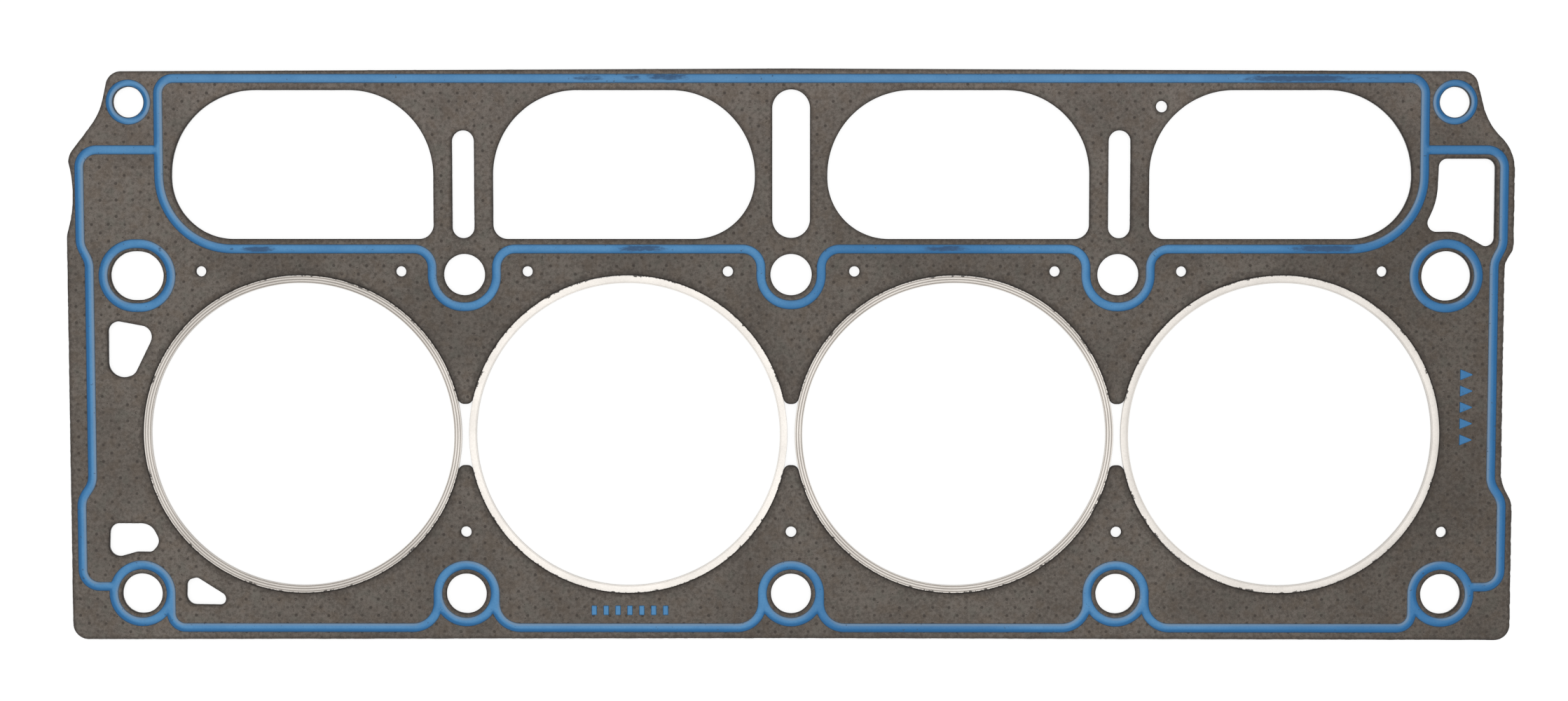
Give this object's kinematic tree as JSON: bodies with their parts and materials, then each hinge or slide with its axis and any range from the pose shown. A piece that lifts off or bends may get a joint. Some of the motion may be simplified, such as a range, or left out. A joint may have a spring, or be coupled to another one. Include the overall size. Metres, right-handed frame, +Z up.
{
  "type": "cylinder head gasket",
  "caption": "Flat composite gasket that seals a cylinder head to its deck, with steel fire rings, intake windows, coolant ports and printed silicone beads.",
  "frame": {"origin": "middle of the line through the four cylinder bores, on the deck plane that the fire rings rest on; it is also the centre of the four inner head bolt holes", "axes": "+X along the bore line to the front end, +Y across to the valley side with the intake windows, +Z up from the deck to the head"},
  "size_m": [0.4953, 0.1959, 0.0017],
  "materials": {
    "facing": "grey-brown fibre composite, matt, with a fine grain and the faint dimples of the core's tangs",
    "core": "cold-rolled steel sheet, seen only at the cut edges",
    "ring": "bright stainless steel, turned",
    "bead": "blue silicone, satin"
  },
  "bodies": {
    "root": {"facing_top": "facing", "facing_bottom": "facing", "core_plate": "core", "fire_ring_1": "ring", "fire_ring_2": "ring", "fire_ring_3": "ring", "fire_ring_4": "ring", "bead_network_top": "bead", "bead_network_bottom": "bead", "dowel_bead_rear_top": "bead", "dowel_bead_rear_bottom": "bead", "dowel_bead_front_top": "bead", "dowel_bead_front_bottom": "bead", "stud_bead_rear_top": "bead", "stud_bead_rear_bottom": "bead", "stud_bead_front_top": "bead", "stud_bead_front_bottom": "bead"}
  },
  "joints": []
}
